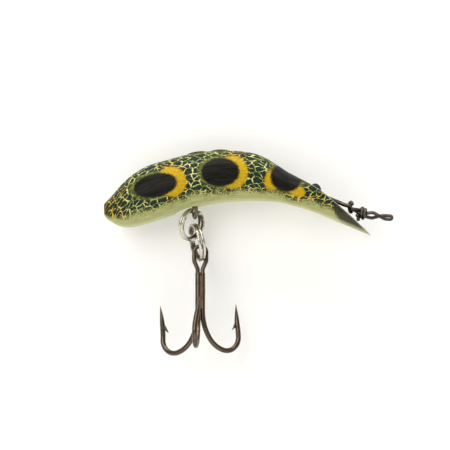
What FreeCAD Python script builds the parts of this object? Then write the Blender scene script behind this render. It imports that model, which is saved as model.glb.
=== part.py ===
import FreeCAD, Part
import math
import os

# Wooden fishing plug with a curved body, a dished face, a wire line tie, and a treble hook
# on two split rings.  Millimetres.  +X runs towards the head, +Z up, +Y across the body.
# The origin is the centre of the line tie screw eye's ring, where the plug is held.

V = FreeCAD.Vector
OUT = "parts"

# ---- driving dimensions -------------------------------------------------------------------
# Body: upright sections from the tail to beyond the head, as (x, lowest z, highest z, half width)
BODY_SECTIONS = [
    (-58.0, -1.9, 0.8, 1.4),
    (-57.3, -2.8, 1.5, 2.2),
    (-56.0, -3.7, 2.9, 3.1),
    (-54.0, -4.6, 5.2, 4.3),
    (-51.5, -4.75, 7.5, 5.2),
    (-48.0, -3.95, 9.6, 5.9),
    (-43.5, -2.5, 11.0, 6.3),
    (-37.0, -0.3, 12.65, 6.4),
    (-30.0, 1.05, 13.3, 6.3),
    (-23.5, 1.4, 12.8, 6.1),
    (-20.4, 1.35, 11.75, 6.0),
    (-17.0, 1.15, 9.65, 5.9),
    (-13.5, 0.3, 7.6, 5.85),
    (-10.0, -0.7, 7.2, 5.8),
    (-4.0, -3.1, 8.4, 5.7),
    (2.0, -5.6, 6.4, 5.6),
    (7.0, -7.7, 4.4, 5.5),
]
FACE_TIP = (4.9, -6.8)        # foremost point of the dished face, x and z
FACE_SLOPE = 38.0             # degrees the face falls towards the tip
FACE_HOLLOW_RADIUS = 17.5     # across the face, so that it is a shallow trough
FACE_HOLLOW_LENGTH = 60.0
FACE_HOLLOW_BACK = 48.0       # how far the hollow's cutter starts behind the tip

EYE_WIRE = 0.4                # radius of both screw eyes' wire
EYE_NECK = 0.44               # radius of the belly eye's neck, between its ring and its thread
TIE_NECK = 0.48               # radius of the line tie's neck
THREAD_CORE = 0.5
THREAD_CREST = 0.75
THREAD_PITCH = 0.7

TIE_RING = 1.15               # line tie ring, radius to the wire's centre
TIE_RING_YAW = 15.0           # degrees the ring's axis turns from +X
TIE_CROOK = (-1.2, -0.95, 0.4)    # the neck leaves the ring's near side and bends here
TIE_NECK_BEND = 1.2           # radius of the neck's two bends
TIE_SHANK_START = (-3.2, 1.226)   # where the straight shank begins behind the ring
TIE_SHANK_FALL = 22.3         # degrees the shank falls towards the ring
TIE_SHANK_SMOOTH = 5.35
TIE_SHANK_THREAD = 9.0

BELLY_EYE_RING = 1.75
BELLY_EYE_YAW = 12.0
BELLY_EYE_CENTRE = (-36.68, -0.75)
BELLY_EYE_SMOOTH = 0.9
BELLY_EYE_THREAD = 7.0
BELLY_DIMPLE_RADIUS = 5.2
BELLY_DIMPLE_TOP = 0.55       # height of the dimple's crown
BELLY_DIMPLE_BEHIND = 0.6     # its centre lies this far behind the screw eye

RING_COIL = 0.58              # thickness of one coil, along the ring's axis
RING_GAP = 0.04               # between the two coils
RING_WIDTH = 0.9              # of the flattened wire, measured outwards
RING_ROUNDING = 0.2
RING_STEP = 18.0              # degrees over which the wire steps from one coil to the next
UPPER_RING = dict(outer=3.9, centre=(-37.5, -4.15), tilt=13.8, yaw=49.0, step=-70.0)
LOWER_RING = dict(outer=4.6, centre=(-36.2, -8.34), tilt=-11.6, yaw=-74.0, step=25.0)

HOOK_WIRE = 0.6               # radius of the hook wire
HOOK_EYE_WIRE = 0.5           # radius where the wire is drawn down for the eye
HOOK_EYE_HALF = 1.42          # half width of the eye, to the wire's centre
HOOK_EYE_TOP = (-35.42, 0.0, -10.6)   # centre of the arc at the top of the eye
SHANK_HALF = 0.57             # the double hook's shanks stand this far each side of its axis
HOOK_TILT = 9.0               # degrees that the bend leans towards -Y
HOOK_EYE_STRAIGHT = 2.1       # straight sides below the arc
HOOK_EYE_END = 4.6            # below the arc's centre, where the two wires meet
HOOK_EYE_FOOT = 0.6           # the wires run straight for this length above that
HOOK_EYE_BEND = 1.5           # radius of the bends where the eye closes
HOOK_EYE_TAPER = 0.5          # length of the cone from the eye's wire to the hook's
# Below the arc's centre, where the bends of the two double tines and the single one begin
DOUBLE_FLARES = (14.6, 14.0)
SINGLE_FLARE = 13.9
HOOK_BENDS = [(11.0, 35.0), (6.3, 40.0), (3.25, 105.0)]   # radius and turn of each arc
HOOK_SET = 10.0               # degrees the points are set over sideways
HOOK_SET_RADIUS = 9.0
HOOK_LEAN = 2.0               # degrees the points lean back towards the shank
HOOK_SPEAR = 4.9              # length of the tapered point
# The point's taper: share of its length, and radius there as a share of the wire's
SPEAR_TAPER = [(0.0, 1.0), (0.3, 0.86), (0.65, 0.5), (1.0, 0.083)]
SPEAR_OFFSET = 0.5            # share of the taper taken from the side away from the shank
HOOK_FRONT = 1.3              # straight wire between the sideways set and the point
DOUBLE_AZIMUTHS = (149.0, 29.0)
SINGLE_AZIMUTH = -94.0
SINGLE_SHANK = (-0.45, -1.22) # beside and in front of the double hook's two shanks
SINGLE_TOP = 5.3              # below the eye arc's centre
BARB_BACK = 6.3               # from the tip of the point back to the tip of the barb
BARB_REACH = 1.5              # from the wire's centre to the tip of the barb
BARB_ROOT = 2.3               # from the barb's tip forward to the upper end of its root
BARB_HEEL = 0.9               # from the barb's tip forward to the lower end of its root
BARB_SUNK = 0.3               # from the wire's centre to the root, inside the wire
BARB_THICK = 0.5
# Braze section: corners round the three shanks, in the hook's own frame
BRAZE_CORNERS = [(-0.99, -0.21), (-0.57, 0.25), (0.57, 0.25), (0.99, -0.21), (-0.03, -1.39), (-0.87, -1.39)]
BRAZE_TOP = 5.6
BRAZE_BOTTOM = 13.4

LINK_WIRE = 0.35
LINK_LOOP = 1.05              # inner loop, radius to the wire's centre
LINK_FALL = 27.0              # degrees the link falls away from the ring
LINK_STRAIGHT = 0.8           # straight wire beside the loop and inside the wrap
LINK_JOIN = 0.9               # the strands meet this far before the wrap's centre
LINK_STRAND_BEND = 0.9
STRAND_APART = 0.357          # from the link's middle line to each strand's centre
LINK_WRAP = (2.75, 0.6, -1.4) # centre of the wrapped turns
LINK_WRAP_RADIUS = 1.02
LINK_WRAP_TURNS = 2
LINK_WRAP_PITCH = 0.665       # between the wrapped turns
LINK_CORE = 0.82              # radius of the core that fills the wrap round the two strands
LINK_CORE_LENGTH = 1.05
# Cut end of the wrapping wire, as steps from the wrap's centre
LINK_TAIL = [(-0.3, 0, -0.75), (-0.95, 0, -0.55), (-0.9, 0, -1.9)]
LINK_TAIL_BEND = 0.45
LINK_LEAVE = 0.5              # the outer loop starts this far past the wrap's centre
# Corners of the outer loop, out along the near strand, round its end and back along the far one
LINK_OUTER = [(5.2, 0.3, -1.15), (6.4, 0.15, -1.95), (8.0, 0.5, -2.85), (9.72, 0.6, -3.0),
              (9.68, 0.6, -1.98), (7.4, 0.8, -1.85), (6.3, 1.0, -2.25), (4.9, 0.9, -2.65)]
LINK_OUTER_BENDS = [1.5, 1.5, 1.5, 0.45, 0.45, 1.5, 1.5, 1.5]


# ---- helpers --------------------------------------------------------------------------------
def turn(shape, centre, axis, degrees):
    copy = shape.copy()
    copy.rotate(centre, axis, degrees)
    return copy


def fuse(shapes):
    solid = shapes[0].multiFuse(shapes[1:]) if len(shapes) > 1 else shapes[0]
    solid = solid.removeSplitter()
    return solid.Solids[0] if len(solid.Solids) == 1 else solid


def disc(centre, normal, radius):
    return Part.Face(Part.Wire(Part.makeCircle(radius, centre, normal)))


def bent_wire(points, radius, bend_radii):
    """Round wire through points: straight runs, and a tangent arc inside each corner."""
    pieces = []
    start = points[0]
    for i in range(1, len(points) - 1):
        corner = points[i]
        back = (points[i - 1] - corner).normalize()
        ahead = (points[i + 1] - corner).normalize()
        inside = math.acos(max(-1.0, min(1.0, back.dot(ahead))))
        bend = math.pi - inside
        cut = bend_radii[i - 1] * math.tan(bend / 2)
        p1 = corner + back * cut
        p2 = corner + ahead * cut
        axis = (back * -1).cross(ahead).normalize()
        centre = p1 + axis.cross(back * -1).normalize() * bend_radii[i - 1]
        if (p1 - start).Length > 1e-4:
            pieces.append(Part.makeCylinder(radius, (p1 - start).Length, start, p1 - start))
        pieces.append(disc(p1, back * -1, radius).revolve(centre, axis, math.degrees(bend)))
        start = p2
    if (points[-1] - start).Length > 1e-4:
        end = points[-1]
        pieces.append(Part.makeCylinder(radius, (end - start).Length, start, end - start))
    return fuse(pieces)


def ring(radius, wire, centre, normal):
    return Part.makeTorus(radius, wire, centre, normal)


def thread(start, direction, length):
    """Tapered screw thread: a core with a row of sharp ribs, ending in a point."""
    direction = V(direction).normalize()
    side = direction.cross(V(0, 1, 0)).normalize()
    ribs = int(length / THREAD_PITCH)
    outline = [start]
    for i in range(ribs):
        taper = 1.0 - 0.55 * (i / ribs) ** 2
        root = start + direction * (i * THREAD_PITCH)
        outline.append(root + side * (THREAD_CORE * taper))
        outline.append(root + direction * (THREAD_PITCH / 2) + side * (THREAD_CREST * taper))
    outline.append(start + direction * (ribs * THREAD_PITCH + THREAD_PITCH))
    outline.append(start)
    profile = Part.Face(Part.makePolygon(outline))
    return profile.revolve(start, direction, 360)


# ---- body -----------------------------------------------------------------------------------
def body_section(x, low, high, half_width):
    half_height = (high - low) / 2
    centre = V(x, 0, (high + low) / 2)
    major, minor = max(half_height, half_width), min(half_height, half_width)
    ellipse = Part.Ellipse(centre, major, minor)
    long_way = V(0, 0, 1) if half_height >= half_width else V(0, 1, 0)
    ellipse.Axis = V(1, 0, 0)
    ellipse.XAxis = long_way
    return Part.Wire(ellipse.toShape())


def face_direction():
    slope = math.radians(FACE_SLOPE)
    return V(math.cos(slope), 0, -math.sin(slope))


def face_normal():
    slope = math.radians(FACE_SLOPE)
    return V(math.sin(slope), 0, math.cos(slope))


def make_body(screws):
    blank = Part.makeLoft([body_section(*s) for s in BODY_SECTIONS], True, False)
    tip = V(FACE_TIP[0], 0, FACE_TIP[1])
    along = face_direction()
    axis_point = tip + face_normal() * FACE_HOLLOW_RADIUS - along * FACE_HOLLOW_BACK
    hollow = Part.makeCylinder(FACE_HOLLOW_RADIUS, FACE_HOLLOW_LENGTH, axis_point, along)
    dimple_x = BELLY_EYE_CENTRE[0] - BELLY_DIMPLE_BEHIND
    dimple_centre = V(dimple_x, 0, BELLY_DIMPLE_TOP - BELLY_DIMPLE_RADIUS)
    dimple = Part.makeSphere(BELLY_DIMPLE_RADIUS, dimple_centre)
    plug = blank.cut(hollow).cut(dimple).cut(screws[0]).cut(screws[1])
    return plug.Solids[0]


# ---- screw eyes -----------------------------------------------------------------------------
def make_line_tie_screw_eye():
    yaw = math.radians(TIE_RING_YAW)
    normal = V(math.cos(yaw), math.sin(yaw), 0)
    fall = math.radians(TIE_SHANK_FALL)
    back = V(-math.cos(fall), 0, math.sin(fall))
    near_side = V(math.sin(yaw), -math.cos(yaw), 0) * TIE_RING
    start = V(TIE_SHANK_START[0], 0, TIE_SHANK_START[1])
    neck_end = start + back * TIE_SHANK_SMOOTH
    neck = bent_wire([near_side, V(*TIE_CROOK), start, neck_end], TIE_NECK, [TIE_NECK_BEND] * 2)
    screw = thread(neck_end, back, TIE_SHANK_THREAD)
    return fuse([ring(TIE_RING, EYE_WIRE, V(0, 0, 0), normal), neck, screw])


def make_belly_screw_eye():
    yaw = math.radians(BELLY_EYE_YAW)
    normal = V(math.cos(yaw), math.sin(yaw), 0)
    centre = V(BELLY_EYE_CENTRE[0], 0, BELLY_EYE_CENTRE[1])
    neck_start = centre + V(0, 0, BELLY_EYE_RING)
    neck = Part.makeCylinder(EYE_NECK, BELLY_EYE_SMOOTH, neck_start, V(0, 0, 1))
    screw = thread(neck_start + V(0, 0, BELLY_EYE_SMOOTH), V(0, 0, 1), BELLY_EYE_THREAD)
    return fuse([ring(BELLY_EYE_RING, EYE_WIRE, centre, normal), neck, screw])


# ---- split rings ----------------------------------------------------------------------------
def coil_section(outer, offset, degrees):
    """Rounded section of the flattened wire, on the ray at an angle round the ring's axis Y."""
    half = RING_COIL / 2
    inner = outer - RING_WIDTH
    low, high = offset - half, offset + half
    corners = [(inner, low), (outer, low), (outer, high), (inner, high)]
    edges = []
    count = len(corners)
    for i in range(count):
        x0, y0 = corners[i]
        x1, y1 = corners[(i + 1) % count]
        x2, y2 = corners[(i + 2) % count]
        along = V(x1 - x0, y1 - y0, 0).normalize()
        after = V(x2 - x1, y2 - y1, 0).normalize()
        begin = V(x0, y0, 0) + along * RING_ROUNDING
        end = V(x1, y1, 0) - along * RING_ROUNDING
        leave = V(x1, y1, 0) + after * RING_ROUNDING
        middle = V(x1, y1, 0) + (after - along) * (RING_ROUNDING * (1 - math.sqrt(0.5)))
        edges.append(Part.LineSegment(begin, end).toShape())
        edges.append(Part.Arc(end, middle, leave).toShape())
    section = Part.Wire(edges)
    return turn(section, V(0, 0, 0), V(0, 1, 0), degrees)


def make_split_ring(outer, centre, tilt, yaw, step):
    """Two flat coils joined by a short slanting step; the axis is Y before it is placed."""
    offset = (RING_COIL + RING_GAP) / 2
    sweep = 360 - RING_STEP
    origin, axis = V(0, 0, 0), V(0, 1, 0)
    lower = Part.Face(coil_section(outer, -offset, step)).revolve(origin, axis, sweep)
    upper = Part.Face(coil_section(outer, offset, step + 360)).revolve(origin, axis, sweep)
    bridge_wires = []
    for share in (0.0, 0.5, 1.0):
        angle = step + sweep + RING_STEP * share
        bridge_wires.append(coil_section(outer, offset * (2 * share - 1), angle))
    bridge = Part.makeLoft(bridge_wires, True, False)
    solid = fuse([lower, bridge, upper])
    solid = turn(solid, origin, V(0, 0, 1), yaw)
    solid = turn(solid, origin, V(0, 1, 0), tilt)
    solid.translate(V(centre[0], 0, centre[1]))
    return solid


# ---- treble hook ----------------------------------------------------------------------------
def place_hook(shape):
    """From the hook's own upright frame, with its origin at the eye's arc, to the row frame."""
    origin = V(*HOOK_EYE_TOP)
    placed = shape.copy()
    placed.translate(origin)
    return turn(placed, origin, V(1, 0, 0), -HOOK_TILT)


def spear_and_barb(base, direction, inward):
    """Tapered point with one barb on the side that faces the shank."""
    circles = []
    for share, thickness in SPEAR_TAPER:
        radius = HOOK_WIRE * thickness
        sideways = inward * ((HOOK_WIRE - radius) * SPEAR_OFFSET)
        middle = base + direction * (HOOK_SPEAR * share) - sideways
        circles.append(Part.Wire(Part.makeCircle(radius, middle, direction)))
    spear = Part.makeLoft(circles, True, False)
    tip = base + direction * HOOK_SPEAR
    barb_tip = tip - direction * BARB_BACK + inward * BARB_REACH
    root_top = tip - direction * (BARB_BACK - BARB_ROOT) + inward * BARB_SUNK
    root_low = tip - direction * (BARB_BACK - BARB_HEEL) + inward * BARB_SUNK
    side = direction.cross(inward).normalize() * BARB_THICK
    outline = Part.makePolygon([root_top, barb_tip, root_low, root_top])
    outline.translate(side * -0.5)
    barb = Part.Face(outline).extrude(side)
    return [spear, barb]


def make_tine(shank, azimuth, top, flare):
    """One shank, bend, point and barb: straight from top down to flare, then round."""
    angle = math.radians(azimuth)
    outward = V(math.cos(angle), math.sin(angle), 0)
    across = V(-math.sin(angle), math.cos(angle), 0)
    start = V(shank[0], shank[1], -top)
    here = V(shank[0], shank[1], -flare)
    pieces = [Part.makeCylinder(HOOK_WIRE, flare - top, start, V(0, 0, -1))]
    heading = V(0, 0, -1)
    for radius, degrees in HOOK_BENDS + [(HOOK_SET_RADIUS, HOOK_LEAN)]:
        inside = across.cross(heading).normalize() * -1
        centre = here + inside * radius
        face = disc(here, heading, HOOK_WIRE)
        pieces.append(face.revolve(centre, across * -1, degrees))
        here = turn(Part.Vertex(here), centre, across * -1, degrees).Point
        heading = FreeCAD.Rotation(across * -1, degrees).multVec(heading)
    inward = outward * -1
    inward = (inward - heading * inward.dot(heading)).normalize()
    centre = here + across * HOOK_SET_RADIUS
    axis = heading.cross(across).normalize()
    pieces.append(disc(here, heading, HOOK_WIRE).revolve(centre, axis, HOOK_SET))
    here = turn(Part.Vertex(here), centre, axis, HOOK_SET).Point
    heading = FreeCAD.Rotation(axis, HOOK_SET).multVec(heading)
    pieces.append(Part.makeCylinder(HOOK_WIRE, HOOK_FRONT, here, heading))
    return pieces + spear_and_barb(here + heading * HOOK_FRONT, heading, inward)


def make_hook_eye():
    """Pear-shaped eye: an arc, two straight sides, then both wires close to the shanks."""
    half = HOOK_EYE_HALF
    low = -HOOK_EYE_END
    arc_face = disc(V(half, 0, 0), V(0, 0, 1), HOOK_EYE_WIRE)
    pieces = [arc_face.revolve(V(0, 0, 0), V(0, -1, 0), 180)]
    for side in (-1, 1):
        run = [V(side * half, 0, 0), V(side * half, 0, -HOOK_EYE_STRAIGHT),
               V(side * SHANK_HALF, 0, low + HOOK_EYE_FOOT), V(side * SHANK_HALF, 0, low)]
        pieces.append(bent_wire(run, HOOK_EYE_WIRE, [HOOK_EYE_BEND] * 2))
        pieces.append(Part.makeCone(HOOK_EYE_WIRE, HOOK_WIRE, HOOK_EYE_TAPER, run[-1], V(0, 0, -1)))
    return pieces


def make_double_hook():
    pieces = make_hook_eye()
    top = HOOK_EYE_END + HOOK_EYE_TAPER
    for side, azimuth, flare in zip((-1, 1), DOUBLE_AZIMUTHS, DOUBLE_FLARES):
        pieces += make_tine((side * SHANK_HALF, 0), azimuth, top, flare)
    return place_hook(fuse(pieces))


def make_single_hook():
    tine = make_tine(SINGLE_SHANK, SINGLE_AZIMUTH, SINGLE_TOP, SINGLE_FLARE)
    cap = Part.makeSphere(HOOK_WIRE, V(SINGLE_SHANK[0], SINGLE_SHANK[1], -SINGLE_TOP))
    return place_hook(fuse(tine + [cap]))


def make_braze():
    """Metal run into the valleys between the three shanks, which it overlaps."""
    points = [V(x, y, -BRAZE_BOTTOM) for x, y in BRAZE_CORNERS]
    face = Part.Face(Part.makePolygon(points + points[:1]))
    return place_hook(face.extrude(V(0, 0, BRAZE_BOTTOM - BRAZE_TOP)))


# ---- line tie link --------------------------------------------------------------------------
def make_link():
    """Stiff wire link: loop round the ring, two wrapped turns with a tail, twisted outer loop."""
    yaw = math.radians(TIE_RING_YAW)
    fall = math.radians(LINK_FALL)
    along = V(math.cos(fall), 0, -math.sin(fall))
    up = V(math.sin(fall), 0, math.cos(fall))
    apart = up * STRAND_APART
    pivot = V(-math.sin(yaw), math.cos(yaw), 0) * TIE_RING    # the ring's far side
    wrap = V(*LINK_WRAP)
    near_side = pivot + V(0, -LINK_LOOP, 0)
    far_side = pivot + V(0, LINK_LOOP, 0)
    pieces = [disc(near_side, along, LINK_WIRE).revolve(pivot, up * -1, 180)]
    for side, offset in ((near_side, apart), (far_side, apart * -1)):
        first = side + along * LINK_STRAIGHT
        join = wrap - along * LINK_JOIN + offset
        through = wrap + along * LINK_STRAIGHT + offset
        pieces.append(bent_wire([side, first, join, through], LINK_WIRE, [LINK_STRAND_BEND] * 2))
    for i in range(LINK_WRAP_TURNS):
        shift = along * ((i - (LINK_WRAP_TURNS - 1) / 2) * LINK_WRAP_PITCH)
        pieces.append(ring(LINK_WRAP_RADIUS, LINK_WIRE, wrap + shift, along))
    core_start = wrap - along * (LINK_CORE_LENGTH / 2)
    pieces.append(Part.makeCylinder(LINK_CORE, LINK_CORE_LENGTH, core_start, along))
    tail = [wrap + V(*step) for step in LINK_TAIL]
    pieces.append(bent_wire(tail, LINK_WIRE, [LINK_TAIL_BEND]))
    leave = wrap + along * LINK_LEAVE
    outer = [leave + apart] + [V(*p) for p in LINK_OUTER] + [leave - apart]
    pieces.append(bent_wire(outer, LINK_WIRE, LINK_OUTER_BENDS))
    return fuse(pieces)


def main():
    os.makedirs(OUT, exist_ok=True)
    tie_eye = make_line_tie_screw_eye()
    belly_eye = make_belly_screw_eye()
    nodes = {
        "body": make_body([tie_eye, belly_eye]),
        "line_tie_screw_eye": tie_eye,
        "line_tie_link": make_link(),
        "belly_screw_eye": belly_eye,
        "upper_split_ring": make_split_ring(**UPPER_RING),
        "lower_split_ring": make_split_ring(**LOWER_RING),
        "treble_double_hook": make_double_hook(),
        "treble_single_hook": make_single_hook(),
        "treble_braze": make_braze(),
    }
    for name, shape in nodes.items():
        box = shape.BoundBox
        print(name, shape.ShapeType, len(shape.Solids), shape.isValid(), round(shape.Volume, 2),
              [round(v, 2) for v in (box.XMin, box.YMin, box.ZMin, box.XMax, box.YMax, box.ZMax)])
        shape.exportStep(os.path.join(OUT, name + ".step"))


main()
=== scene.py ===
"""Looks of a wooden fishing plug: crackle paint in a frog pattern, worn rings, a bronzed hook.

Lengths are in millimetres, in the CAD model's frame, and made metres where a mesh is built. The
camera, the stage and the lights are in metres.
+X runs towards the head, +Z up, and the origin is the centre of the line tie's ring.
"""

import math

import bmesh
import bpy
import numpy as np
from mathutils import Matrix, Vector


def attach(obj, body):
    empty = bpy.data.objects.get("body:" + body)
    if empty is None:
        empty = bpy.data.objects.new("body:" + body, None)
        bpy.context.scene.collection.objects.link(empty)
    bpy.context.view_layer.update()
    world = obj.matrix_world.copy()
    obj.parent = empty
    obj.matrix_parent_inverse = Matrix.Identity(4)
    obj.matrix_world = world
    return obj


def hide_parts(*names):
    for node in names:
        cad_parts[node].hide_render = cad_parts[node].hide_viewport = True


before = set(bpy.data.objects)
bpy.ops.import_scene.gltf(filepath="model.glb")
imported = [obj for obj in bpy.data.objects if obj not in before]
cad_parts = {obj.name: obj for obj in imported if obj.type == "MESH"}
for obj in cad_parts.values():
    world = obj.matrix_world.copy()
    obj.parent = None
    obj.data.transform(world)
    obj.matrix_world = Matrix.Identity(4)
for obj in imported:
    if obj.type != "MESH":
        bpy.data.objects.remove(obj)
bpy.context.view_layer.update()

MM = 0.001

# ---- the plug's shape, as in the CAD model -----------------------------------------------------
# Upright sections from the tail to beyond the head: x, lowest z, highest z, half width
BODY_SECTIONS = [
    (-58.0, -1.9, 0.8, 1.4),
    (-57.3, -2.8, 1.5, 2.2),
    (-56.0, -3.7, 2.9, 3.1),
    (-54.0, -4.6, 5.2, 4.3),
    (-51.5, -4.75, 7.5, 5.2),
    (-48.0, -3.95, 9.6, 5.9),
    (-43.5, -2.5, 11.0, 6.3),
    (-37.0, -0.3, 12.65, 6.4),
    (-30.0, 1.05, 13.3, 6.3),
    (-23.5, 1.4, 12.8, 6.1),
    (-20.4, 1.35, 11.75, 6.0),
    (-17.0, 1.15, 9.65, 5.9),
    (-13.5, 0.3, 7.6, 5.85),
    (-10.0, -0.7, 7.2, 5.8),
    (-4.0, -3.1, 8.4, 5.7),
    (2.0, -5.6, 6.4, 5.6),
    (7.0, -7.7, 4.4, 5.5),
]
FACE_TIP = (4.9, -6.8)
FACE_SLOPE = math.radians(38.0)
FACE_HOLLOW_RADIUS = 17.5
DIMPLE_RADIUS = 5.2
DIMPLE_TOP = 0.55
DIMPLE_CENTRE = (-37.28, 0.0, DIMPLE_TOP - DIMPLE_RADIUS)
BEAD = ((-8.4, 0.0, 3.7), (1.45, 1.6, 1.9))   # lump of paint where the line tie enters the face
# Thick black marks on top of the back: centre x and z, half length, lean up to the head in degrees
BACK_MARKS = [(-36.2, 12.72, 2.1, 8.0), (-30.8, 13.2, 2.0, 1.5)]
MARK_HALF_WIDTH = 1.9
MARK_HEIGHT = 0.36
BODY_STEPS = 14           # rows of the first mesh between two sections
BODY_SIDES = 120
BODY_VOXEL = 0.17
BODY_SMOOTHING = 6        # rounds of smoothing after the remesh
SMOOTHING_SHARE = 0.5
CUTTER_LENGTH = 90.0
CUTTER_SIDES = 360
BALL_DIVISIONS = 5

# ---- the wires' shapes: near the CAD model's, with thicker wire and looser coils ---------------
TIE_YAW = math.radians(15.0)
TIE_RING = 1.15           # radius of the line tie's ring, to the middle of its wire
TIE_WIRE = 0.4
TIE_NECK = 0.48
TIE_ARC = (155.0, -160.0, -22.5)   # degrees where the ring starts and ends, and between its points
TIE_STEPS = 6
TIE_SIDES = 22
TIE_CUT_END = (0.75, 0.95)         # the ring's cut end is rounded by these shares
# The wire's radius along x, from the thread's point to the ring
TIE_TAPER_X = [-16.4, -12.0, -9.0, -1.5, 0.0]
TIE_TAPER = [0.1, 0.45, TIE_NECK, TIE_NECK, TIE_WIRE]
# The line tie's wire from its ring to the end of its thread inside the head
TIE_SHANK = [
    (-0.35, -1.09, 0.22),
    (-1.2, -0.93, 0.42),
    (-2.2, -0.42, 0.82),
    (-3.2, -0.03, 1.24),
    (-5.5, 0.0, 2.17),
    (-8.15, 0.0, 3.26),
    (-12.0, 0.0, 4.84),
    (-16.4, 0.0, 6.64),
]
LINK_FALL = math.radians(27.0)     # how steeply the link points down from the ring
LINK_WIRE = 0.4
LINK_SIDES = 20
LINK_LOOP = 1.05                   # radius of the loop through the ring
LINK_ARC = (80.0, -90.0, -10.0)    # degrees where the loop starts and ends, and between points
# The wire is slimmer near the ring: distance from the loop's middle, and share of its radius
LINK_SLIM_REACH = [1.5, 2.6]
LINK_SLIM = [0.8, 1.0]
STRAND_RUN = 0.8                   # straight run of both strands beside the loop
STRAND_APART = 0.4                 # each strand from the wrap's axis
STRAND_BEND = 0.9
LINK_WRAP = (2.75, 0.6, -1.4)
WRAP_HALF_LENGTH = 0.9
WRAP_RADIUS = 1.06
WRAP_TURNS = 2.3
WRAP_PITCH = 0.76
WRAP_START = math.radians(70)
WRAP_POINTS = 56
# The outer loop's corners, and the radius of the bend at each
LINK_OUTER = [
    (5.2, 0.3, -1.2),
    (6.4, 0.15, -1.95),
    (8.0, 0.5, -2.8),
    (9.66, 0.6, -2.95),
    (9.62, 0.6, -2.05),
    (7.4, 0.8, -1.95),
    (6.3, 1.0, -2.25),
    (4.9, 0.9, -2.6),
]
LINK_OUTER_BENDS = [1.5, 1.5, 1.5, 0.43, 0.43, 1.5, 1.5, 1.5]
# The cut tail leaves the wrap through these places, measured from the wrap's middle
LINK_TAIL = [(-1.0, 0.1, -0.75), (-1.02, 0.1, -1.3), (-0.95, 0.1, -1.85)]
TAIL_STEPS = 5

RING_COIL = 0.62          # thickness of one coil along the ring's axis
RING_WIDTH = 0.9
RING_ROUNDING = 0.26
RING_APART = 0.32         # each coil's middle from the ring's middle plane
RING_WIRE_TURN = 702      # degrees from one end of the wire to the other
RING_POINT_TURN = 3.0     # degrees between points
RING_CROSSING = 12        # degrees over which the wire crosses from one coil to the other
RING_CUT_END = 0.86
# step is where the wire starts, in degrees. sprung says where the coils stand apart: the middle of
# the place and its half width in degrees, and how far.
UPPER_RING = dict(
    outer=3.9,
    centre=(-37.5, 0.0, -4.15),
    tilt=13.8,
    yaw=49.0,
    step=-70.0,
    sprung=(-12.0, 62.0, 0.4),
)
# The lower ring's wire starts on the far side, where the CAD ring's doesn't, so that no end shows
LOWER_RING = dict(
    outer=4.6,
    centre=(-36.2, 0.0, -8.34),
    tilt=-11.6,
    yaw=-74.0,
    step=215.0,
    sprung=(2.0, 75.0, 0.3),
)

# ---- the paint ---------------------------------------------------------------------------------
# Spots on each side: centre x and z, half length, half height, lean up to the head in degrees
SPOTS = [
    (-45.8, 5.0, 5.2, 2.8, 12.0),
    (-30.7, 8.1, 4.5, 3.4, 2.0),
    (-15.4, 6.9, 3.7, 3.4, -10.0),
]
# Yellow half rings beside the spots, written in the same way
HALOS = [
    (-42.0, 5.9, 3.4, 3.5, 0.0),
    (-27.9, 8.1, 3.6, 3.9, 0.0),
    (-18.4, 6.3, 2.0, 2.5, -20.0),
    (-12.9, 3.7, 2.0, 1.3, -20.0),
]

FACE_START = -14.0        # the face lies ahead of this x
# Dark patch down the side from the face's rim: x, width
DARK_PATCH_REACH = [
    (-13.5, 0.9),
    (-10.0, 0.5),
    (-9.0, -0.6),
    (-4.7, -0.6),
    (-4.0, 1.7),
    (-2.5, 2.0),
    (0.0, 1.6),
    (2.5, 0.9),
    (4.9, -0.3),
]
FAR_OFF = 9.0             # stands for a distance too great to matter
ARC_STEPS = 24            # for measuring the way round the skin
FACE_MARGIN = 0.03        # depth inside the skin where the face begins, as a share
WARM_TAIL = (-51.0, 5.0)  # crackle lines turn golden behind this x, over this length
WARM_HEAD = (-14.0, 10.0, 0.6)     # and ahead of this one, over this length, by this share

CELL_SCALE = (0.54, 0.84, 0.0)     # crackle cells a millimetre, along and around
GRAIN_SCALE = (0.3, 2.4, 0.0)      # the same for the wood's grain
# Paint colours in pairs: the darker and the lighter end of each
DEEP_GREEN, GREEN = (0.004, 0.018, 0.012), (0.012, 0.042, 0.025)
BROWN_GREEN, GOLD = (0.014, 0.020, 0.010), (0.66, 0.42, 0.035)
LIME_SHADE, LIME = (0.40, 0.42, 0.08), (0.66, 0.62, 0.26)
BELLY_SHADE, BELLY = (0.28, 0.29, 0.115), (0.42, 0.43, 0.20)
SIDE_SHADE, SIDE = (0.19, 0.20, 0.05), (0.42, 0.42, 0.14)
YELLOW_SHADE, YELLOW = (0.36, 0.21, 0.004), (0.56, 0.37, 0.010)
OLIVE_SHADE, OLIVE = (0.030, 0.040, 0.010), (0.20, 0.20, 0.035)
BLACK_SHADE, BLACK = (0.0030, 0.0030, 0.0022), (0.011, 0.010, 0.007)
FACE_SHADE, FACE_GREY = (0.008, 0.009, 0.006), (0.042, 0.040, 0.028)
# Colours of the dark patch down the side from the face's rim
DARK_PATCH_SHADE, DARK_PATCH = (0.010, 0.010, 0.008), (0.040, 0.036, 0.024)
# The first below is a painted bounce light along the body's lowest edge; the second is the face's
# rim, partly worn paint and partly a painted highlight
PAINTED_BOUNCE_LIGHT, PALE_RIM_WEAR_AND_HIGHLIGHT = (0.62, 0.62, 0.34), (0.40, 0.41, 0.31)

# ---- camera, stage and light, in metres --------------------------------------------------------
CAMERA_PLACE = (-0.0296, -0.5, -0.0042)
CAMERA_LENS = 170.2
WORLD_COLOUR = (1.0, 0.99, 0.97, 1.0)
WORLD_LIGHT = 0.38
WORLD_SEEN = 1.05         # brightness of the empty background itself
LIGHT_AIM = (-0.027, 0.0, -0.008)
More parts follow.
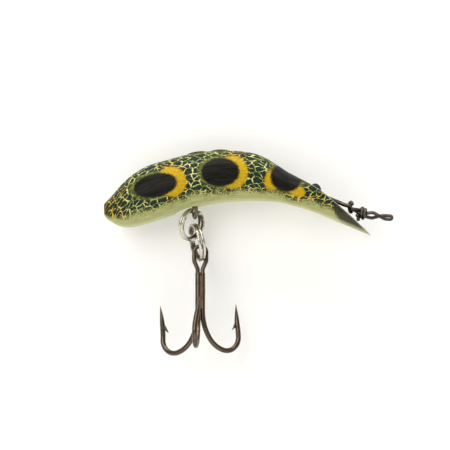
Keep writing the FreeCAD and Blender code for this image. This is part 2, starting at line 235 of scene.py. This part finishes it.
# Name, place, size and watts
LIGHTS = [
    ("top_light", (-0.03, -0.10, 0.42), (0.5, 0.3), 2.0),
    ("front_light", (-0.22, -0.42, 0.20), (0.35, 0.35), 1.3),
    ("bounce_light", (-0.03, -0.02, -0.35), (0.4, 0.4), 0.8),
    ("back_light", (0.1, 0.35, 0.40), (0.4, 0.4), 0.8),
]
PAPER_MIDDLE, PAPER_SIZE, PAPER_GLOW = (-0.03, 0.0085, -0.005), 0.24, 0.11
FLOOR_MIDDLE, FLOOR_SIZE, FLOOR_GLOW = (-0.03, 0.0, -0.068), 3.0, 0.1
STAGE_COLOUR = (0.82, 0.81, 0.79, 1.0)
WHITE = (1.0, 1.0, 1.0, 1.0)


# ---- small helpers -----------------------------------------------------------------------------
def link(obj):
    bpy.context.scene.collection.objects.link(obj)
    return obj


def mesh_object(name, points, faces):
    """A new object from points in millimetres."""
    mesh = bpy.data.meshes.new(name)
    mesh.from_pydata([[c * MM for c in p] for p in points], [], faces)
    mesh.update()
    return link(bpy.data.objects.new(name, mesh))


def apply_modifiers(obj):
    """Bakes obj's modifiers into its mesh."""
    graph = bpy.context.evaluated_depsgraph_get()
    mesh = bpy.data.meshes.new_from_object(obj.evaluated_get(graph))
    old = obj.data
    obj.modifiers.clear()
    obj.data = mesh
    mesh.name = obj.name
    bpy.data.meshes.remove(old)


def discard(obj):
    mesh = obj.data
    bpy.data.objects.remove(obj)
    bpy.data.meshes.remove(mesh)


def smooth_rows(rows, steps):
    """Points on a Catmull-Rom spline through rows; knots go by the square root of distance."""
    rows = np.array(rows, float)
    padded = np.vstack([2 * rows[0] - rows[1], rows, 2 * rows[-1] - rows[-2]])
    result = []
    for p0, p1, p2, p3 in zip(padded, padded[1:], padded[2:], padded[3:]):
        t1 = np.linalg.norm(p1 - p0) ** 0.5
        t2 = t1 + np.linalg.norm(p2 - p1) ** 0.5
        t3 = t2 + np.linalg.norm(p3 - p2) ** 0.5
        for step in range(steps):
            t = t1 + (t2 - t1) * step / steps
            a1 = p0 + (p1 - p0) * t / t1
            a2 = p1 + (p2 - p1) * (t - t1) / (t2 - t1)
            a3 = p2 + (p3 - p2) * (t - t2) / (t3 - t2)
            b1 = a1 + (a2 - a1) * t / t2
            b2 = a2 + (a3 - a2) * (t - t1) / (t3 - t1)
            result.append(b1 + (b2 - b1) * (t - t1) / (t2 - t1))
    result.append(rows[-1])
    return np.array(result)


def rounded(points, bends, steps=8):
    """Points along straight runs with an arc of the given radius inside each corner."""
    points = [np.array(p, float) for p in points]
    result = [points[0]]
    for before, corner, after, bend in zip(points, points[1:], points[2:], bends):
        back = (before - corner) / np.linalg.norm(before - corner)
        ahead = (after - corner) / np.linalg.norm(after - corner)
        half = math.acos(max(-1.0, min(1.0, float(back @ ahead)))) / 2
        middle = (back + ahead) / np.linalg.norm(back + ahead)
        centre = corner + middle * bend / math.sin(half)
        first = corner + back * bend / math.tan(half) - centre
        last = corner + ahead * bend / math.tan(half) - centre
        for share in np.linspace(0, 1, steps):
            turn = math.pi - 2 * half
            arc = first * math.sin((1 - share) * turn) + last * math.sin(share * turn)
            result.append(centre + arc / math.sin(turn))
    result.append(points[-1])
    return np.array(result)


def circle(sides):
    """Section of round wire with a radius of one."""
    angles = np.arange(sides) * 2 * math.pi / sides
    return np.stack([np.cos(angles), np.sin(angles)], axis=1)


def rounded_box(wide, tall, rounding, steps=5):
    """Section of flattened wire, as an outline round its middle."""
    result = []
    for quarter in range(4):
        turn = quarter * math.pi / 2
        side_x, side_y = (1, -1, -1, 1)[quarter], (1, 1, -1, -1)[quarter]
        for k in range(steps):
            angle = turn + math.pi / 2 * k / (steps - 1)
            x = side_x * (wide / 2 - rounding) + rounding * math.cos(angle)
            y = side_y * (tall / 2 - rounding) + rounding * math.sin(angle)
            result.append((x, y))
    return np.array(result)


def sweep(path, section, scale=None, closed=False, across=None):
    """Points and faces of a wire: section carried along path, scaled by scale at each point.

    across holds the direction of the section's first axis at each point; without it the section
    is carried along without twisting.
    """
    path = np.array(path, float)
    count = len(path)
    if closed:
        heading = np.roll(path, -1, axis=0) - np.roll(path, 1, axis=0)
    else:
        heading = np.gradient(path, axis=0)
    heading /= np.linalg.norm(heading, axis=1)[:, None]
    if across is None:
        side = np.cross(heading[0], (0.31, 0.52, 0.79))
        across = []
        for direction in heading:
            side = side - direction * (side @ direction)
            side = side / np.linalg.norm(side)
            across.append(side)
        across = np.array(across)
    second = np.cross(heading, across)
    scale = np.ones(count) if scale is None else np.array(scale, float)
    rings = path[:, None] + scale[:, None, None] * (
        section[None, :, :1] * across[:, None] + section[None, :, 1:] * second[:, None]
    )
    sides = len(section)
    shift = 0
    if closed:
        gaps = np.linalg.norm(rings[0][:, None] - rings[-1][None], axis=2)
        orders = [(np.arange(sides) + k) % sides for k in range(sides)]
        shift = int(np.argmin([gaps[np.arange(sides), order].sum() for order in orders]))
    faces = []
    for r in range(count if closed else count - 1):
        turn = shift if r == count - 1 else 0
        for k in range(sides):
            a, b = r * sides + (k + turn) % sides, r * sides + (k + 1 + turn) % sides
            c = (r + 1) % count * sides
            faces.append((a, b, c + (k + 1) % sides, c + k))
    if not closed:
        faces.append(tuple(reversed(range(sides))))
        faces.append(tuple(range((count - 1) * sides, count * sides)))
    return rings.reshape(-1, 3), faces


def wire_object(name, parts, body, material, node, inner=None):
    """One piece from swept wires, riding on a body in place of a CAD node."""
    points, faces = [], []
    for more, sides in parts:
        faces += [tuple(i + len(points) for i in face) for face in sides]
        points += [tuple(p) for p in more]
    piece = mesh_object(name, points, faces)
    if inner is not None:
        store(piece.data, "inner", inner)
    bm = bmesh.new()
    bm.from_mesh(piece.data)
    bmesh.ops.recalc_face_normals(bm, faces=bm.faces)
    bm.to_mesh(piece.data)
    bm.free()
    piece.data.shade_smooth()
    piece.data.set_sharp_from_angle(angle=math.radians(50))
    piece.data.materials.append(material)
    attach(piece, body)
    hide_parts(node)


def ball(name, centre, radii, lean=0.0):
    """An ellipsoid with half lengths radii, leaned about Y by lean degrees."""
    bm = bmesh.new()
    bmesh.ops.create_icosphere(bm, subdivisions=BALL_DIVISIONS, radius=1.0)
    place = (
        Matrix.Translation(Vector(centre) * MM)
        @ Matrix.Rotation(math.radians(-lean), 4, "Y")
        @ Matrix.Diagonal((*(r * MM for r in radii), 1.0))
    )
    bmesh.ops.transform(bm, matrix=place, verts=bm.verts)
    mesh = bpy.data.meshes.new(name)
    bm.to_mesh(mesh)
    bm.free()
    return link(bpy.data.objects.new(name, mesh))


def rod(name, centre, direction, radius, length):
    """A finely divided plain cylinder, used as a cutter."""
    bm = bmesh.new()
    sizes = {"radius1": radius * MM, "radius2": radius * MM, "depth": length * MM}
    bmesh.ops.create_cone(bm, cap_ends=True, segments=CUTTER_SIDES, **sizes)
    turn = Vector((0, 0, 1)).rotation_difference(Vector(direction)).to_matrix().to_4x4()
    bmesh.ops.transform(bm, matrix=Matrix.Translation(Vector(centre) * MM) @ turn, verts=bm.verts)
    mesh = bpy.data.meshes.new(name)
    bm.to_mesh(mesh)
    bm.free()
    return link(bpy.data.objects.new(name, mesh))


def boolean(obj, tool, operation):
    modifier = obj.modifiers.new(operation, "BOOLEAN")
    modifier.operation = operation
    modifier.solver = "EXACT"
    modifier.object = tool
    apply_modifiers(obj)
    discard(tool)


def store(mesh, name, values):
    """Keeps one number or vector for each vertex, for the material to read."""
    kind, key = ("FLOAT_VECTOR", "vector") if values.ndim == 2 else ("FLOAT", "value")
    attribute = mesh.attributes.new(name, kind, "POINT")
    attribute.data.foreach_set(key, values.astype(np.float32).ravel())


# ---- materials ---------------------------------------------------------------------------------
class Nodes:
    """Builds a material's nodes: each call adds one node and returns its output."""

    def __init__(self, name):
        self.material = bpy.data.materials.new(name)
        self.material.use_nodes = True
        self.tree = self.material.node_tree
        self.shader = self.tree.nodes["Principled BSDF"]

    def add(self, kind, output=0, inputs=None, **settings):
        node = self.tree.nodes.new("ShaderNode" + kind)
        for key, value in settings.items():
            setattr(node, key, value)
        for key, value in (inputs or {}).items():
            self.put(node.inputs[key], value)
        return node.outputs[output]

    def put(self, socket, value):
        if isinstance(value, bpy.types.NodeSocket):
            self.tree.links.new(value, socket)
        else:
            socket.default_value = value

    def set(self, **values):
        """Sets the shader's sockets, named in lower case with underscores."""
        sockets = {s.name.lower().replace(" ", "_"): s for s in self.shader.inputs}
        for key, value in values.items():
            self.put(sockets[key], value)

    def read(self, name, output="Fac"):
        return self.add("Attribute", output, attribute_name=name)

    def position(self):
        """Coordinates on the piece itself, in millimetres, so that they move with it."""
        return self.scaled(self.add("TexCoord", "Object"), (1 / MM,) * 3)

    def scaled(self, vector, scale):
        return self.add("VectorMath", 0, {0: vector, 1: scale}, operation="MULTIPLY")

    def shifted(self, vector, other):
        return self.add("VectorMath", 0, {0: vector, 1: other}, operation="ADD")

    def noise(self, vector, scale, detail=3.0, roughness=0.5, output=0):
        inputs = {"Vector": vector, "Scale": scale, "Detail": detail, "Roughness": roughness}
        return self.add("TexNoise", output, inputs)

    def warped(self, vector, scale, reach):
        """vector, moved about by a noise by up to half of reach."""
        wander = self.shifted(self.noise(vector, scale, output=1), (-0.5, -0.5, -0.5))
        return self.shifted(vector, self.scaled(wander, (reach,) * 3))

    def math(self, operation, a, b):
        return self.add("Math", 0, {0: a, 1: b}, operation=operation)

    def frayed(self, value, noise, reach):
        """value, raised and lowered by a noise by up to half of reach."""
        centred = self.math("SUBTRACT", noise, 0.5)
        return self.math("ADD", value, self.math("MULTIPLY", centred, reach))

    def step(self, value, start, end, low=0.0, high=1.0):
        """Rises smoothly from low to high as value goes from start to end."""
        inputs = {"Value": value, "From Min": start, "From Max": end}
        inputs.update({"To Min": low, "To Max": high})
        return self.add("MapRange", 0, inputs, interpolation_type="SMOOTHSTEP")

    def mix(self, share, a, b):
        colours = [c if isinstance(c, bpy.types.NodeSocket) else (*c, 1.0) for c in (a, b)]
        return self.add("Mix", 2, {0: share, 6: colours[0], 7: colours[1]}, data_type="RGBA")

    def bump(self, height, distance, strength):
        inputs = {"Height": height, "Distance": distance * MM, "Strength": strength}
        return self.add("Bump", 0, inputs)


def painted_wood():
    """Dark green crackle over yellow, fading in specks to a pale olive belly, under varnish."""
    n = Nodes("frog_paint")
    wrap = n.read("wrap", "Vector")
    height = n.read("height")
    spot = n.read("spot")
    halo = n.read("halo")
    rim = n.read("rim")
    face = n.read("face")
    dark_patch = n.read("dark_patch")
    warm_end = n.read("warm_end")
    place = n.position()

    fine = n.noise(place, 3.0, 4.0, 0.65)
    speck = n.noise(place, 5.5, 2.0, 0.6)
    patch = n.noise(place, 0.9, 2.0)
    broad = n.noise(place, 0.3, 2.0)
    streak = n.noise(n.scaled(wrap, GRAIN_SCALE), 1.0, 4.0, 0.6)

    # Crackle: cells longer than tall, with ragged edges and lines of uneven width
    rough = n.warped(n.warped(wrap, 0.5, 1.6), 2.6, 0.6)
    cells = {"Vector": n.scaled(rough, CELL_SCALE), "Scale": 1.0, "Randomness": 0.9}
    edges = {"feature": "DISTANCE_TO_EDGE", "voronoi_dimensions": "2D"}
    gap = n.add("TexVoronoi", "Distance", cells, **edges)
    tint = n.add("TexVoronoi", "Color", cells, voronoi_dimensions="2D")
    tint = n.add("SeparateColor", 0, {"Color": tint})
    line = n.step(n.math("ADD", patch, n.math("MULTIPLY", fine, 0.5)), 0.55, 0.95, 0.0, 0.072)
    island = n.step(n.math("SUBTRACT", gap, line), 0.0, 0.03)

    # How much of the dark coat there is: all of it on the back, specks low on the side, none below
    cover = n.math("MAXIMUM", n.step(n.frayed(height, broad, 0.3), 0.03, 0.40), face)
    dark = n.step(n.frayed(n.math("MULTIPLY", cover, 0.95), speck, 1.9), 0.38, 0.56)
    # Spots: black with a sprayed olive edge, and a yellow half ring beside each
    sprayed = n.step(n.frayed(spot, fine, 1.6), 1.2, 0.1)
    crescent = n.step(n.frayed(halo, fine, 1.4), 0.3, -0.4)
    black = n.step(n.frayed(spot, speck, 1.3), 0.35, -0.3)
    warm = n.step(n.math("ADD", halo, n.math("MULTIPLY", patch, 3.0)), 3.6, 1.4)
    warm = n.math("MAXIMUM", warm, warm_end)

    greens = n.mix(n.step(fine, 0.3, 0.75), DEEP_GREEN, GREEN)
    greens = n.mix(n.math("MULTIPLY", tint, 0.6), greens, BROWN_GREEN)
    lines = n.mix(warm, n.mix(n.step(patch, 0.3, 0.7), LIME_SHADE, LIME), GOLD)
    belly = n.mix(n.step(streak, 0.3, 0.7), BELLY_SHADE, BELLY)
    side = n.mix(n.step(fine, 0.35, 0.65), SIDE_SHADE, SIDE)
    yellow = n.mix(n.step(fine, 0.3, 0.7), YELLOW_SHADE, YELLOW)
    olive = n.mix(n.step(speck, 0.42, 0.6), OLIVE_SHADE, OLIVE)
    char = n.mix(n.step(streak, 0.35, 0.65), BLACK_SHADE, BLACK)

    back = n.mix(island, lines, greens)
    back = n.mix(n.math("MULTIPLY", sprayed, 0.8), back, olive)
    paint = n.mix(n.step(cover, 0.0, 0.5), belly, side)
    paint = n.mix(dark, paint, back)
    paint = n.mix(n.math("MULTIPLY", crescent, n.step(speck, 0.3, 0.45, 0.8, 1.0)), paint, yellow)
    paint = n.mix(black, paint, char)

    # The dished face is dark, with a dark patch over its edge, and its rim is a pale line: partly
    # worn paint, partly a painted highlight
    paint = n.mix(n.math("MULTIPLY", face, 0.8), paint, n.mix(speck, FACE_SHADE, FACE_GREY))
    dark_patch_mask = n.step(n.frayed(dark_patch, speck, 1.6), 0.45, -0.35)
    paint = n.mix(n.math("MULTIPLY", dark_patch_mask, 0.92), paint, n.mix(speck, DARK_PATCH_SHADE, DARK_PATCH))
    # Painted bounce light: a pale band along the lowest edge of the body
    painted_bounce_edge = n.step(height, 0.09, 0.0)
    paint = n.mix(n.math("MULTIPLY", painted_bounce_edge, 0.6), paint, PAINTED_BOUNCE_LIGHT)
    # Pale line along the face's rim: partly worn paint, partly a painted highlight
    worn = n.step(n.frayed(rim, fine, 0.3), 0.32, 0.1)
    paint = n.mix(n.math("MULTIPLY", worn, 0.75), paint, PALE_RIM_WEAR_AND_HIGHLIGHT)

    relief = n.math("ADD", n.math("MULTIPLY", island, 0.6), n.math("MULTIPLY", streak, 0.5))
    n.set(
        base_color=paint,
        roughness=n.step(fine, 0.2, 0.8, 0.4, 0.62),
        normal=n.bump(relief, 0.05, 0.6),
        specular_ior_level=0.06,
        coat_weight=0.06,
        coat_roughness=0.12,
    )
    return n.material


def tarnished(name, clean, shade, dirt_and_shade, dirt_and_shade_share, roughness, scale):
    """Metal between two colours, with patches of grime and, on the split rings, painted shade;
    finely scratched and pitted.

    The share pair says where the dark patches start and where they are full. An attribute called
    inner gathers more of them on the split rings' inside faces, as painted shade there.
    """
    n = Nodes(name)
    place = n.position()
    patches = n.noise(place, 0.9 * scale, 5.0, 0.62)
    pits = n.noise(place, 7.0 * scale, 3.0, 0.6)
    scratches = n.noise(n.scaled(n.warped(place, 1.0, 0.6), (2.0, 14.0, 2.0)), scale, 2.0)
    # Painted shade: more of the dark patches on the split rings' inside faces, where the coils
    # shade each other; the rest of the patches are dirt
    patches = n.math("ADD", patches, n.math("MULTIPLY", n.read("inner"), 0.16))
    dirt_and_shade_mask = n.step(n.math("ADD", patches, n.math("MULTIPLY", pits, 0.08)), *dirt_and_shade_share)
    metal = n.mix(n.step(pits, 0.3, 0.7), clean, shade)
    height = n.math("ADD", n.math("MULTIPLY", pits, 0.6), n.math("MULTIPLY", scratches, 0.4))
    dull = n.math("ADD", dirt_and_shade_mask, n.math("MULTIPLY", scratches, 0.5))
    n.set(
        base_color=n.mix(dirt_and_shade_mask, metal, dirt_and_shade),
        metallic=n.step(dirt_and_shade_mask, 0.0, 1.0, 1.0, 0.72),
        roughness=n.step(dull, 0.1, 1.2, *roughness),
        normal=n.bump(height, 0.02, 0.5),
    )
    return n.material


NICKEL = tarnished(
    "ring_nickel_worn",
    clean=(0.66, 0.63, 0.54),
    shade=(0.50, 0.47, 0.38),
    dirt_and_shade=(0.085, 0.075, 0.045),
    dirt_and_shade_share=(0.50, 0.70),
    roughness=(0.13, 0.36),
    scale=0.45,
)
BRONZE = tarnished(
    "hook_bronze_worn",
    clean=(0.125, 0.093, 0.067),
    shade=(0.105, 0.078, 0.054),
    dirt_and_shade=(0.055, 0.040, 0.028),
    dirt_and_shade_share=(0.5, 0.8),
    roughness=(0.2, 0.42),
    scale=0.5,
)
COPPER = tarnished(
    "braze_worn",
    clean=(0.28, 0.15, 0.09),
    shade=(0.20, 0.115, 0.07),
    dirt_and_shade=(0.09, 0.055, 0.038),
    dirt_and_shade_share=(0.45, 0.75),
    roughness=(0.28, 0.5),
    scale=0.6,
)
EYE_STEEL = tarnished(
    "eye_wire_worn",
    clean=(0.17, 0.15, 0.11),
    shade=(0.12, 0.10, 0.07),
    dirt_and_shade=(0.06, 0.052, 0.036),
    dirt_and_shade_share=(0.5, 0.8),
    roughness=(0.3, 0.55),
    scale=0.6,
)
TIE_STEEL = tarnished(
    "tie_wire_worn",
    clean=(0.13, 0.105, 0.09),
    shade=(0.080, 0.065, 0.056),
    dirt_and_shade=(0.030, 0.025, 0.022),
    dirt_and_shade_share=(0.45, 0.75),
    roughness=(0.3, 0.55),
    scale=0.7,
)


# ---- the plug's body ---------------------------------------------------------------------------
def body_shape():
    rows = smooth_rows(BODY_SECTIONS, BODY_STEPS)
    points = []
    for x, low, high, half in rows:
        for k in range(BODY_SIDES):
            angle = 2 * math.pi * k / BODY_SIDES
            z = (low + high) / 2 + (high - low) / 2 * math.sin(angle)
            points.append((x, half * math.cos(angle), z))
    faces = []
    for r in range(len(rows) - 1):
        for k in range(BODY_SIDES):
            a = r * BODY_SIDES + k
            b = r * BODY_SIDES + (k + 1) % BODY_SIDES
            faces.append((a, b, b + BODY_SIDES, a + BODY_SIDES))
    last = (len(rows) - 1) * BODY_SIDES
    faces.append(tuple(reversed(range(BODY_SIDES))))
    faces.append(tuple(range(last, last + BODY_SIDES)))
    body = mesh_object("wooden_body", points, faces)

    down = (math.cos(FACE_SLOPE), 0.0, -math.sin(FACE_SLOPE))
    cutter = rod("face_cutter", face_axis_point(), down, FACE_HOLLOW_RADIUS, CUTTER_LENGTH)
    boolean(body, cutter, "DIFFERENCE")
    boolean(body, ball("dimple_cutter", DIMPLE_CENTRE, (DIMPLE_RADIUS,) * 3), "DIFFERENCE")
    boolean(body, ball("bead", *BEAD), "UNION")
    for x, z, half, lean in BACK_MARKS:
        mark = ball("mark", (x, 0.0, z), (half, MARK_HALF_WIDTH, MARK_HEIGHT), lean)
        boolean(body, mark, "UNION")

    remesh = body.modifiers.new("remesh", "REMESH")
    remesh.mode = "VOXEL"
    remesh.voxel_size = BODY_VOXEL * MM
    smooth = body.modifiers.new("smooth", "SMOOTH")
    smooth.factor = SMOOTHING_SHARE
    smooth.iterations = BODY_SMOOTHING
    apply_modifiers(body)
    body.data.shade_smooth()
    return body


def face_axis_point():
    """A point on the axis of the cylinder that hollows the face."""
    return (
        FACE_TIP[0] + FACE_HOLLOW_RADIUS * math.sin(FACE_SLOPE),
        0.0,
        FACE_TIP[1] + FACE_HOLLOW_RADIUS * math.cos(FACE_SLOPE),
    )


def ellipse_distance(x, z, shape):
    """Rough distance in millimetres from an ellipse's edge, less than nothing inside."""
    cx, cz, half_long, half_high, lean = shape
    c, s = math.cos(math.radians(lean)), math.sin(math.radians(lean))
    u = (x - cx) * c + (z - cz) * s
    v = (z - cz) * c - (x - cx) * s
    reach = np.sqrt((u / half_long) ** 2 + (v / half_high) ** 2)
    return (reach - 1) * (half_long + half_high) / 2


def paint_guides(body):
    """Stores what the paint follows: place on the unrolled skin, height, spots, face and rim."""
    mesh = body.data
    co = np.empty(len(mesh.vertices) * 3, np.float32)
    mesh.vertices.foreach_get("co", co)
    x, y, z = (co.reshape(-1, 3) / MM).T
    rows = smooth_rows(BODY_SECTIONS, BODY_STEPS)
    low, high, half = (np.interp(x, rows[:, 0], rows[:, k]) for k in (1, 2, 3))
    middle = (rows[:, 1] + rows[:, 2]) / 2
    run = np.concatenate([[0], np.cumsum(np.hypot(np.diff(rows[:, 0]), np.diff(middle)))])
    lean = np.arctan(np.interp(x, rows[:, 0], np.gradient(middle, rows[:, 0])))
    above = z - (low + high) / 2
    tall = (high - low) / 2
    round_turn = np.arctan2(y / half, above / tall)
    steps = (np.arange(ARC_STEPS) + 0.5) / ARC_STEPS
    angles = round_turn[:, None] * steps
    speed = np.hypot(half[:, None] * np.cos(angles), tall[:, None] * np.sin(angles))
    around = round_turn * speed.mean(axis=1)

    ax, _, az = face_axis_point()
    off = (x - ax) * math.sin(FACE_SLOPE) + (z - az) * math.cos(FACE_SLOPE)
    under = np.abs(np.hypot(off, y) - FACE_HOLLOW_RADIUS)
    inside = np.clip(1 - np.hypot(y / half, above / tall), 0, 1)
    face = np.clip((inside - FACE_MARGIN) / FACE_MARGIN, 0, 1) * (x > FACE_START)
    along = np.interp(x, rows[:, 0], run) + above * np.sin(lean)
    around = np.where(face > 0.5, y, around)
    store(mesh, "wrap", np.stack([along, around, np.zeros_like(x)], axis=1))
    store(mesh, "height", (z - low) / (high - low))
    store(mesh, "face", face)
    store(mesh, "rim", under + inside * 5 + FAR_OFF * (x < FACE_START))

    on_side = np.min([ellipse_distance(x, z, s) for s in SPOTS], axis=0)
    on_top = [ellipse_distance(x, y, (cx, 0, h, MARK_HALF_WIDTH, 0)) for cx, _, h, _ in BACK_MARKS]
    on_top = np.where(above > 0, np.min(on_top, axis=0), FAR_OFF)
    # The bead is painted black a little beyond its own edge
    reach = np.sqrt(sum(((c - m) / r) ** 2 for c, m, r in zip((x, y, z), *BEAD)))
    bead = (reach - 1.12) * BEAD[1][0]
    store(mesh, "spot", np.min([on_side, on_top, bead], axis=0))
    dark_patch = under - np.interp(x, *np.transpose(DARK_PATCH_REACH))
    store(mesh, "dark_patch", np.where(x > DARK_PATCH_REACH[0][0], dark_patch, FAR_OFF))
    store(mesh, "halo", np.min([ellipse_distance(x, z, s) for s in HALOS], axis=0))
    warm_tail = np.clip((WARM_TAIL[0] - x) / WARM_TAIL[1], 0, 1)
    warm_head = np.clip((x - WARM_HEAD[0]) / WARM_HEAD[1], 0, WARM_HEAD[2])
    store(mesh, "warm_end", warm_tail + warm_head)


body = body_shape()
paint_guides(body)
body.data.materials.append(painted_wood())
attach(body, "plug")
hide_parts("body")


# ---- these metal pieces keep their CAD shapes --------------------------------------------------
NODE_MATERIALS = {
    "belly_screw_eye": EYE_STEEL,
    "treble_double_hook": BRONZE,
    "treble_single_hook": BRONZE,
    "treble_braze": COPPER,
}
for node, material in NODE_MATERIALS.items():
    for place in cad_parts[node].material_slots:
        place.material = material


# ---- the split rings: two coils of one flattened wire ------------------------------------------
def split_ring(outer, centre, tilt, yaw, step, sprung):
    """Points and faces of a ring of that outer radius, turned about Z by yaw, then Y by tilt."""
    middle, width, reach = sprung
    radius = outer - RING_WIDTH / 2
    path, across = [], []
    for degrees in np.arange(0, RING_WIRE_TURN + 1, RING_POINT_TURN):
        offset = RING_APART * math.tanh((degrees - RING_WIRE_TURN / 2) / RING_CROSSING)
        place = (step + degrees - middle + 180) % 360 - 180
        if abs(place) < width:
            open_share = math.cos(math.pi / 2 * place / width) ** 2
            offset += math.copysign(reach / 2, offset) * open_share
        angle = math.radians(step + degrees)
        outwards = np.array((math.cos(angle), 0, -math.sin(angle)))
        path.append(outwards * radius + (0, offset, 0))
        across.append(outwards)
    turn = Matrix.Rotation(math.radians(tilt), 3, "Y") @ Matrix.Rotation(math.radians(yaw), 3, "Z")
    turn = np.array(turn).T
    path = np.array(path) @ turn + centre
    ends = np.ones(len(path))
    ends[0] = ends[-1] = RING_CUT_END
    section = rounded_box(RING_WIDTH, RING_COIL, RING_ROUNDING)
    return sweep(path, section, ends, across=np.array(across) @ turn)


def hang_ring(name, body, node, numbers):
    points, faces = split_ring(**numbers)
    # How far each point of the wire's section lies towards the ring's hole; the material paints
    # shade on the inside faces with it
    inwards = -rounded_box(RING_WIDTH, RING_COIL, RING_ROUNDING)[:, 0] / (RING_WIDTH / 2)
    inwards = np.tile(inwards, len(points) // len(inwards))
    wire_object(name, [(points, faces)], body, NICKEL, node, inwards)


hang_ring("upper_ring_coils", "upper_ring", "upper_split_ring", UPPER_RING)
hang_ring("lower_ring_coils", "lower_ring", "lower_split_ring", LOWER_RING)


# ---- the line tie: a screw eye, and a link of stiff wire wrapped round itself ------------------
def line_tie_wire():
    far = np.array((-math.sin(TIE_YAW), math.cos(TIE_YAW), 0))
    up = np.array((0, 0, 1))
    angles = np.radians(np.arange(*TIE_ARC))
    ring = [TIE_RING * (math.cos(a) * far + math.sin(a) * up) for a in angles]
    path = smooth_rows(np.vstack([ring, TIE_SHANK]), TIE_STEPS)
    scale = np.interp(path[:, 0], TIE_TAPER_X, TIE_TAPER)
    scale[:2] *= TIE_CUT_END
    return sweep(path, circle(TIE_SIDES), scale)


def link_wires():
    """The link's closed strand, and the wire wound round it with its cut tail."""
    along = np.array((math.cos(LINK_FALL), 0, -math.sin(LINK_FALL)))
    up = np.array((math.sin(LINK_FALL), 0, math.cos(LINK_FALL)))
    side = np.array((0, 1, 0))
    pivot = TIE_RING * np.array((-math.sin(TIE_YAW), math.cos(TIE_YAW), 0))
    wrap = np.array(LINK_WRAP)
    turns = np.radians(np.arange(*LINK_ARC))
    loop = [pivot + LINK_LOOP * (math.sin(a) * side - math.cos(a) * along) for a in turns]
    near, far = pivot - LINK_LOOP * side, pivot + LINK_LOOP * side
    run, half, apart = along * STRAND_RUN, along * WRAP_HALF_LENGTH, up * STRAND_APART
    out = [near, near + run, wrap - half + apart, wrap + half + apart]
    home = [wrap + half - apart, wrap - half - apart, far + run, far]
    bends = [STRAND_BEND] * 3 + LINK_OUTER_BENDS + [STRAND_BEND] * 3
    strand = np.vstack([loop, rounded(out + LINK_OUTER + home, bends)])
    slim = np.interp(np.linalg.norm(strand - pivot, axis=1), LINK_SLIM_REACH, LINK_SLIM)
    winding = []
    for share in np.linspace(0, 1, WRAP_POINTS):
        angle = WRAP_START + 2 * math.pi * WRAP_TURNS * share
        shift = along * (WRAP_PITCH * WRAP_TURNS * (0.5 - share))
        outwards = math.cos(angle) * up + math.sin(angle) * side
        winding.append(wrap + shift + WRAP_RADIUS * outwards)
    tail = smooth_rows([winding[-1]] + [wrap + place for place in np.array(LINK_TAIL)], TAIL_STEPS)
    section = circle(LINK_SIDES) * LINK_WIRE
    wound = np.vstack([winding, tail[1:]])
    return [sweep(strand, section, slim, closed=True), sweep(wound, section)]


wire_object("line_tie_eye", [line_tie_wire()], "plug", TIE_STEEL, "line_tie_screw_eye")
wire_object("line_tie_loops", link_wires(), "tie_link", TIE_STEEL, "line_tie_link")


# ---- camera, floor and light -------------------------------------------------------------------
camera = link(bpy.data.objects.new("camera", bpy.data.cameras.new("camera")))
camera.location = CAMERA_PLACE
camera.rotation_euler = (math.radians(90), 0, 0)
camera.data.lens = CAMERA_LENS
bpy.context.scene.camera = camera
bpy.context.scene.view_settings.view_transform = "Standard"

world = bpy.data.worlds.new("studio")
world.use_nodes = True
bpy.context.scene.world = world
tree = world.node_tree
soft = tree.nodes["Background"]
soft.inputs["Color"].default_value = WORLD_COLOUR
soft.inputs["Strength"].default_value = WORLD_LIGHT
plain = tree.nodes.new("ShaderNodeBackground")
plain.inputs["Color"].default_value = WHITE
plain.inputs["Strength"].default_value = WORLD_SEEN
seen = tree.nodes.new("ShaderNodeLightPath")
choose = tree.nodes.new("ShaderNodeMixShader")
tree.links.new(seen.outputs["Is Camera Ray"], choose.inputs[0])
tree.links.new(soft.outputs[0], choose.inputs[1])
tree.links.new(plain.outputs[0], choose.inputs[2])
tree.links.new(choose.outputs[0], tree.nodes["World Output"].inputs["Surface"])


for name, place, size, watts in LIGHTS:
    data = bpy.data.lights.new(name, "AREA")
    data.shape = "RECTANGLE"
    data.size, data.size_y = size
    data.energy = watts
    light = link(bpy.data.objects.new(name, data))
    light.location = place
    light.rotation_euler = (Vector(LIGHT_AIM) - Vector(place)).to_track_quat("-Z", "Y").to_euler()


def stage_plane(name, middle, size, upright, glow, one_sided):
    """Pale sheet of the stage. A one-sided sheet isn't there for rays from behind."""
    bm = bmesh.new()
    bmesh.ops.create_grid(bm, x_segments=1, y_segments=1, size=size / 2)
    turn = Matrix.Rotation(math.radians(90 if upright else 0), 4, "X")
    bmesh.ops.transform(bm, matrix=Matrix.Translation(middle) @ turn, verts=bm.verts)
    mesh = bpy.data.meshes.new(name)
    bm.to_mesh(mesh)
    bm.free()
    sheet = link(bpy.data.objects.new(name, mesh))
    n = Nodes(name)
    n.set(base_color=STAGE_COLOUR, roughness=0.9, specular_ior_level=0.0)
    n.set(emission_color=WHITE, emission_strength=glow)
    if one_sided:
        hidden = n.tree.nodes.new("ShaderNodeBsdfTransparent").outputs[0]
        behind = n.add("NewGeometry", "Backfacing")
        shown = n.add("MixShader", 0, {0: behind, 1: n.shader.outputs[0], 2: hidden})
        n.tree.links.new(shown, n.tree.nodes["Material Output"].inputs["Surface"])
    mesh.materials.append(n.material)


# The plug lies on white paper in the photographed view; the floor serves the other views
stage_plane("paper", PAPER_MIDDLE, PAPER_SIZE, True, PAPER_GLOW, True)
stage_plane("floor", FLOOR_MIDDLE, FLOOR_SIZE, False, FLOOR_GLOW, False)
